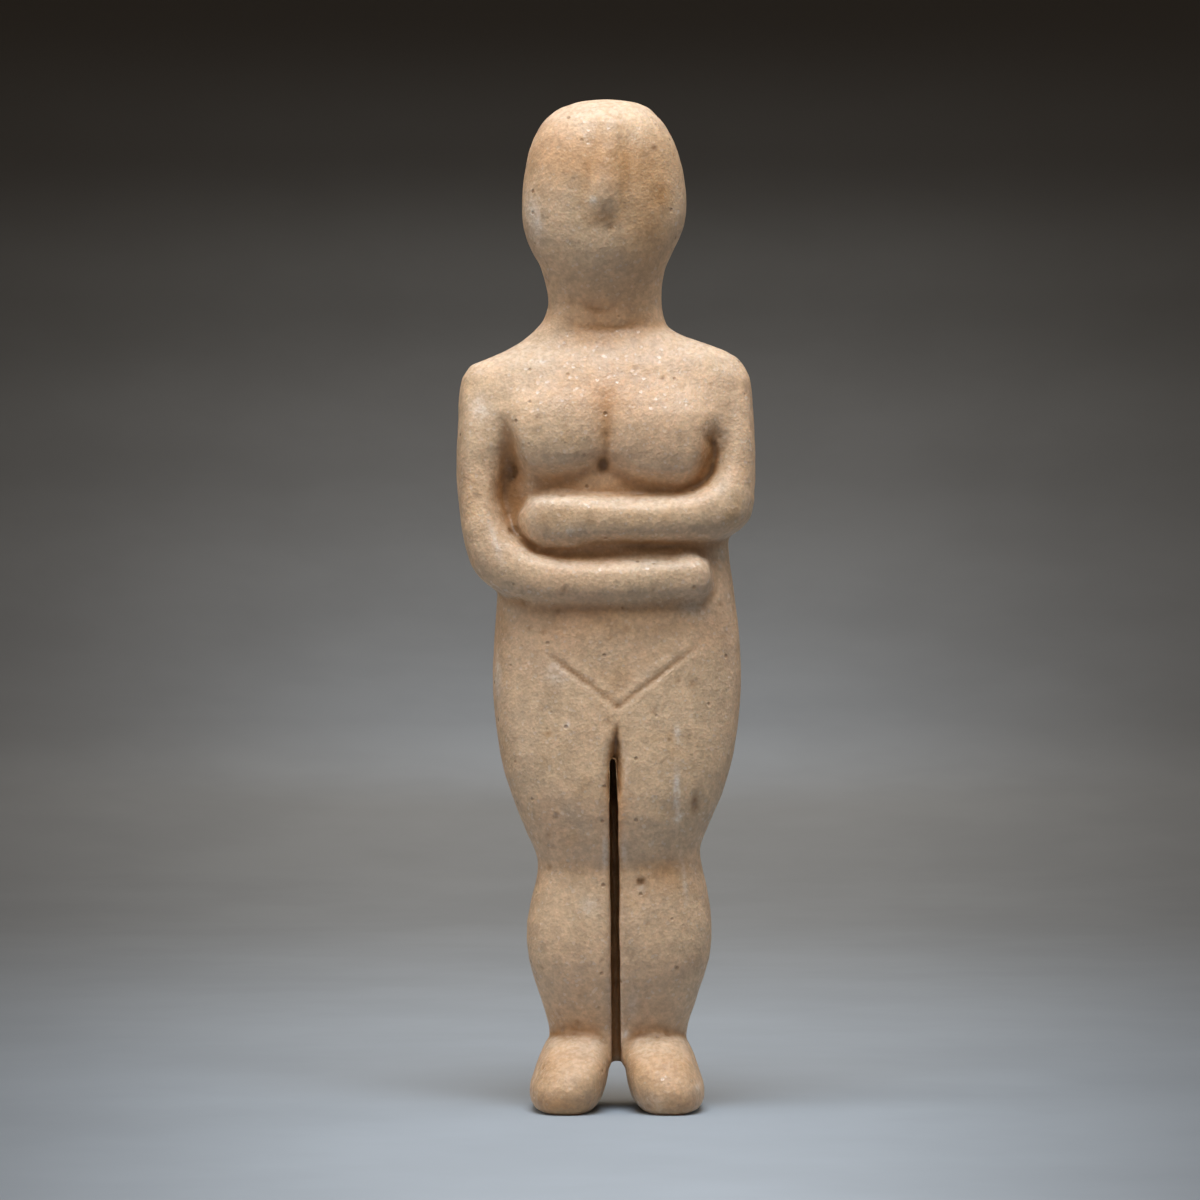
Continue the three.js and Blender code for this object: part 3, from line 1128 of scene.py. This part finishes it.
@dataclass
class Studio:
    """The lights, the sky and the camera.

    Attributes:
        lamps: The soft lights.
        sky: The strength of the even light from above.
        sky_colour: Its colour.
        eye: The camera's place, in metres.
        lens: Its focal length, in millimetres.
    """

    lamps: tuple[Lamp, ...] = (
        Lamp(
            "overhead_softbox",
            (0.0, -0.32, 0.95),
            (0.0, 0.0, 0.16),
            (0.6, 0.5),
            8.4,
            (0.88, 0.95, 1.0),
        ),
        Lamp(
            "left_window", (-0.95, -0.35, 0.40), (0.0, 0.0, 0.15), (0.4, 0.8), 2.4, (1.0, 0.95, 0.9)
        ),
        Lamp(
            "right_strip", (0.95, 0.25, 0.35), (0.0, 0.0, 0.15), (0.25, 0.8), 1.2, (0.93, 0.97, 1.0)
        ),
        Lamp("front_fill", (0.0, -2.2, 0.35), (0.0, 0.0, 0.15), (1.4, 1.2), 5.4, (1.0, 0.88, 0.72)),
        Lamp("wall_glow", (0.0, 1.30, 0.30), (0.0, 1.9, 0.16), (0.35, 0.25), 0.28, (1.0, 1.0, 1.0)),
    )
    sky: float = 1.1
    sky_colour: Colour = (1.0, 0.76, 0.54)
    eye: tuple[float, float, float] = (-0.00179, -1.514, 0.1511)
    lens: float = 152.5

    def build(self) -> None:
        """Makes the lights, the sky and the camera."""
        for lamp in self.lamps:
            lamp.build()
        scene = bpy.context.scene
        world = bpy.data.worlds.new("studio_sky")
        world.use_nodes = True
        back = world.node_tree.nodes["Background"]
        back.inputs[0].default_value = (*self.sky_colour, 1.0)
        back.inputs[1].default_value = self.sky
        scene.world = world
        scene.view_settings.view_transform = "Standard"
        camera = bpy.data.objects.new("camera", bpy.data.cameras.new("camera"))
        camera.data.lens = self.lens
        camera.data.sensor_width = 36.0
        camera.data.clip_end = 20.0
        camera.location = self.eye
        camera.rotation_euler = (math.radians(90), 0.0, 0.0)
        scene.collection.objects.link(camera)
        scene.camera = camera


def figure_zones() -> tuple[Zone, ...]:
    """The places of the front that are rubbed smoother.

    Returns:
        The zones.
    """
    return (
        Zone(-29.0, 174.5, 4.5, 7.0, rounds=40),
        Zone(-7.5, 128.0, 14.0, 3.2, -36.8, 30),
        Zone(15.5, 129.0, 15.0, 3.2, 37.7, 30),
        Zone(-16.0, 10.0, 13.0, 3.5, rounds=24),
        Zone(17.0, 10.0, 13.0, 3.5, rounds=24),
        Zone(24.0, 170.0, 6.0, 4.0, rounds=16),
    )


def figure_cuts() -> tuple[Cut, ...]:
    """The chisel lines of the front, from the head down.

    Returns:
        The lines in the order they are made.
    """
    groove = Profile.GROOVE
    return (
        Cut(
            "neck_arc",
            groove,
            1.9,
            ((-6.4, 238.6, 0.1), (-3.0, 237.2, 0.3), (1.2, 236.8, 0.1)),
            0.4,
        ),
        Cut(
            "neck_crease",
            groove,
            2.2,
            ((-11, 233, 0.0), (-4, 231.8, 0.35), (4, 231.8, 0.35), (12, 233, 0.0)),
            0.25,
        ),
        # the darkening laid in the arm lines and the breastbone notch below is painted shade in
        # their recesses
        Cut(
            "right_arm_edge",
            Profile.STEP,
            3.2,
            (
                (-32.2, 203, 0.0),
                (-31.8, 196, 0.5),
                (-31.0, 188, 1.0),
                (-31.0, 180, 0.9),
                (-31.4, 172, 0.4),
                (-31.6, 167, 0.0),
            ),
            0.3,
        ),
        Cut(
            "left_arm_crease",
            groove,
            1.9,
            (
                (27.9, 200.7, 0.1),
                (32.0, 196.2, 0.7),
                (31.1, 188.5, 0.8),
                (26.6, 184.0, 0.4),
                (22.5, 182.6, 0.0),
            ),
            0.6,
        ),
        Cut(
            "breastbone_notch",
            groove,
            2.6,
            ((-0.9, 194.0, 0.1), (-0.9, 191.0, 0.6), (-0.9, 188.4, 0.2)),
            0.7,
        ),
        # dirt and painted shade in the groove between the forearms
        Cut(
            "forearm_line",
            groove,
            1.8,
            ((3.0, 167.6, 0.0), (8.0, 167.0, 0.5), (17.0, 167.0, 0.6), (25.5, 167.6, 0.1)),
            0.5,
        ),
        Cut(
            "vee_right",
            groove,
            1.7,
            ((-18.6, 136.2, 0.1), (-12.0, 131.4, 0.6), (-5.0, 126.2, 0.6), (3.5, 119.6, 0.4)),
            0.3,
        ),
        Cut(
            "vee_left",
            groove,
            1.7,
            ((27.8, 138.4, 0.1), (20.0, 132.2, 0.6), (11.0, 125.4, 0.6), (3.5, 119.6, 0.4)),
            0.3,
        ),
        # dirt and painted shade in the head of the cleft
        Cut(
            "cleft_tip",
            groove,
            1.7,
            ((3.1, 115.6, 0.0), (3.1, 112.0, 0.9), (3.0, 108.5, 1.5), (2.8, 105.0, 0.8)),
            0.9,
        ),
        Cut(
            "cleft_head",
            groove,
            2.8,
            (
                (2.9, 110.0, 0.0),
                (2.8, 106.0, 2.4),
                (2.6, 101.0, 5.4),
                (2.5, 96.0, 5.0),
                (2.5, 90.0, 0.0),
            ),
            0.5,
        ),
        Cut(
            "long_scratch",
            groove,
            1.5,
            ((20.8, 101.0, 0.1), (20.9, 94.0, 0.3), (20.6, 88.4, 0.3), (21.8, 86.4, 0.1)),
        ),
        Cut(
            "thigh_chip",
            groove,
            1.6,
            ((26.3, 94.8, 0.1), (26.4, 92.6, 0.4), (26.0, 89.0, 0.2)),
            0.5,
        ),
        Cut("knee_pit", groove, 1.8, ((9.8, 69.0, 0.1), (10.3, 68.0, 0.6), (10.8, 67.2, 0.2)), 0.8),
        # the darkening laid in this hollow beside the arm is painted shade
        Cut(
            "arm_hollow_core",
            groove,
            2.4,
            ((-28.0, 192.0, 0.2), (-27.9, 189.4, 1.0), (-27.8, 186.5, 0.3)),
            1.2,
        ),
        Cut(
            "hand_pit",
            groove,
            2.0,
            ((-27.7, 173.0, 0.2), (-27.4, 171.6, 0.7), (-27.0, 170.4, 0.2)),
            1.1,
        ),
        Cut(
            "right_foot_crease",
            groove,
            2.0,
            ((-27.0, 22.6, 0.0), (-21.0, 21.9, 0.5), (-12.0, 21.6, 0.5), (-4.5, 22.4, 0.0)),
            0.35,
        ),
        Cut(
            "left_foot_crease",
            groove,
            2.0,
            ((6.5, 22.4, 0.0), (13.0, 21.6, 0.5), (21.0, 21.8, 0.5), (27.5, 22.8, 0.0)),
            0.35,
        ),
    )


def figure_patches() -> tuple[Patch, ...]:
    """The patches of dirt and colour on the front, with painted shade and painted highlights among
    them.

    Returns:
        The patches.
    """
    soil_and_shade, pale_and_highlight, grey, ochre, film_and_shade = Tint
    return (
        # the head
        # the brow and the cheek on the +x side darker
        Patch(film_and_shade, 0.0, 281.0, 26.0, 9.0, 0, 0.8),
        Patch(film_and_shade, 12.0, 262.0, 8.0, 16.0, 0, 0.65),
        Patch(ochre, 16.4, 270.8, 3.0, 4.0, 0, 0.9),
        Patch(grey, -10.0, 274.0, 2.4, 8.0, -28, 0.6),
        Patch(grey, -0.7, 276.0, 3.0, 9.0, 0, 0.45),
        Patch(pale_and_highlight, -21.5, 265.0, 2.2, 6.5, 12, 0.55),
        # painted highlight on the tip of the nose
        Patch(pale_and_highlight, -3.8, 268.6, 0.9, 0.9, 0, 0.9),
        # painted shadow under the nose
        Patch(film_and_shade, -0.9, 263.6, 4.0, 1.9, 0, 0.7),
        Patch(soil_and_shade, 14.2, 284.8, 1.0, 1.0, 0, 0.9),
        # painted shade on the neck under the chin
        Patch(film_and_shade, 0.0, 236.0, 14.0, 9.0, 0, 0.6),
        # the chest and the arms
        Patch(pale_and_highlight, -37.0, 208.0, 3.0, 3.6, 20, 0.55),
        Patch(soil_and_shade, -20.3, 205.0, 0.9, 0.9, 0, 0.8),
        # darker down the middle of the chest and across its top
        Patch(film_and_shade, 0.0, 200.0, 3.4, 12.0, 0, 0.45),
        Patch(film_and_shade, 0.0, 212.0, 17.0, 7.0, 0, 0.45),
        # painted shade in the recess beside the right upper arm
        Patch(soil_and_shade, -27.9, 189.2, 1.8, 1.4, 0, 1.0),
        Patch(film_and_shade, -27.9, 184.0, 3.0, 9.0, 0, 0.9),
        Patch(soil_and_shade, -27.4, 171.7, 1.6, 1.6, 0, 0.9),
        # painted shade under the breasts and in the notch between them
        Patch(film_and_shade, -14.0, 186.5, 12.0, 2.2, 0, 0.6),
        Patch(film_and_shade, 12.0, 185.0, 12.0, 2.2, -4, 0.6),
        Patch(soil_and_shade, -0.9, 191.0, 1.2, 1.4, 0, 0.7),
        # painted shade in the recess beside the left upper arm
        Patch(film_and_shade, 29.5, 192.0, 2.4, 8.5, 0, 0.8),
        # dirt and painted shade in the groove between the forearms
        Patch(film_and_shade, 15.0, 167.0, 12.0, 1.6, 0, 0.7),
        # painted shade under the upper forearm
        Patch(film_and_shade, -12.0, 164.0, 12.0, 2.0, -8, 0.5),
        Patch(grey, -20.0, 178.8, 4.0, 3.0, 10, 0.7),
        Patch(pale_and_highlight, -10.6, 171.4, 0.9, 0.9, 0, 0.9),
        Patch(pale_and_highlight, -32.4, 167.5, 0.9, 5.2, 16, 0.55),
        Patch(pale_and_highlight, 25.6, 148.8, 4.4, 2.4, -20, 0.45),
        # painted shade under the lower forearm
        Patch(film_and_shade, 2.0, 145.0, 24.0, 6.0, 0, 0.45),
        # the belly, the thighs and the cleft
        Patch(pale_and_highlight, -32.2, 128.2, 1.2, 7.0, 0, 0.5),
        Patch(pale_and_highlight, -14.8, 129.6, 4.0, 3.0, -30, 0.35),
        Patch(ochre, -17.1, 111.5, 1.0, 1.0, 0, 0.9),
        Patch(pale_and_highlight, -11.5, 114.4, 0.8, 0.8, 0, 0.8),
        Patch(grey, -11.0, 89.5, 9.5, 2.4, -51, 0.8),
        Patch(soil_and_shade, -13.3, 92.2, 2.2, 2.2, 0, 0.25),
        Patch(soil_and_shade, -14.8, 87.6, 0.9, 0.9, 0, 0.8),
        Patch(pale_and_highlight, 20.9, 112.0, 0.8, 3.0, 4, 0.6),
        Patch(pale_and_highlight, 20.8, 94.5, 0.8, 6.4, 0, 0.95),
        Patch(pale_and_highlight, 21.6, 87.2, 0.8, 1.6, -40, 0.8),
        Patch(pale_and_highlight, 23.1, 68.7, 0.7, 6.0, 8, 0.5),
        Patch(soil_and_shade, 26.2, 90.6, 1.3, 2.2, 0, 0.5),
        # dirt and painted shade on the walls of the cleft between the legs
        Patch(film_and_shade, 2.6, 98.0, 2.6, 12.0, 0, 1.0, True),
        Patch(film_and_shade, 2.6, 70.0, 2.2, 26.0, 0, 0.9, True),
        Patch(soil_and_shade, 2.6, 62.0, 1.8, 30.0, 0, 0.45, True),
        Patch(pale_and_highlight, -0.3, 77.0, 0.7, 5.0, 0, 0.6),
        Patch(pale_and_highlight, 5.2, 77.6, 0.7, 4.0, 0, 0.55),
        # the knees, the shins and the feet
        Patch(soil_and_shade, 10.3, 68.1, 1.3, 1.1, 0, 0.7),
        Patch(pale_and_highlight, 10.4, 66.0, 1.2, 0.8, 0, 0.5),
        Patch(grey, 25.4, 70.8, 3.4, 3.6, 0, 0.6),
        # darker round the knee on the +x side
        Patch(film_and_shade, 18.0, 70.0, 9.0, 6.0, 0, 0.55),
        Patch(pale_and_highlight, -4.7, 61.0, 2.4, 2.4, 0, 0.35),
        Patch(soil_and_shade, -12.8, 23.5, 0.8, 1.2, 0, 0.7),
        Patch(soil_and_shade, -9.0, 22.7, 2.0, 0.7, 0, 0.6),
        Patch(pale_and_highlight, 7.8, 31.6, 1.3, 3.4, 0, 0.35),
        Patch(pale_and_highlight, 5.6, 22.7, 0.9, 0.9, 0, 0.9),
        # the feet darker towards the soles
        Patch(film_and_shade, -16.0, 26.0, 10.0, 4.5, 0, 0.5),
        Patch(film_and_shade, -16.0, 14.0, 13.0, 6.0, 0, 0.6),
        Patch(film_and_shade, -16.0, 2.5, 16.0, 4.0, 0, 0.9),
        Patch(film_and_shade, 17.0, 2.5, 16.0, 4.0, 0, 0.8),
        Patch(film_and_shade, 17.0, 14.0, 13.0, 6.0, 0, 0.7),
        Patch(pale_and_highlight, 13.9, 3.0, 5.0, 3.0, 0, 0.5),
        Patch(soil_and_shade, 12.5, 3.0, 0.9, 0.9, 0, 0.7),
        Patch(pale_and_highlight, 26.9, 8.0, 0.8, 1.4, 0, 0.8),
    )


def main() -> None:
    """Builds every part of the scene in order and reports each one."""
    logging.basicConfig(level=logging.INFO, format="%(name)s: %(message)s")
    clouds = clouds_group()
    figure = Figurine(zones=figure_zones(), cuts=figure_cuts(), patches=figure_patches()).build()
    figure.data.materials.clear()
    figure.data.materials.append(MarbleFinish().build(clouds))
    LOG.info("%s: %d faces", figure.name, len(figure.data.polygons))
    sweep = Sweep().build()
    sweep.data.materials.append(SweepFinish().build(clouds))
    LOG.info("%s: %d faces", sweep.name, len(sweep.data.polygons))
    Studio().build()
    LOG.info("studio ready")


if __name__ == "__main__":
    main()
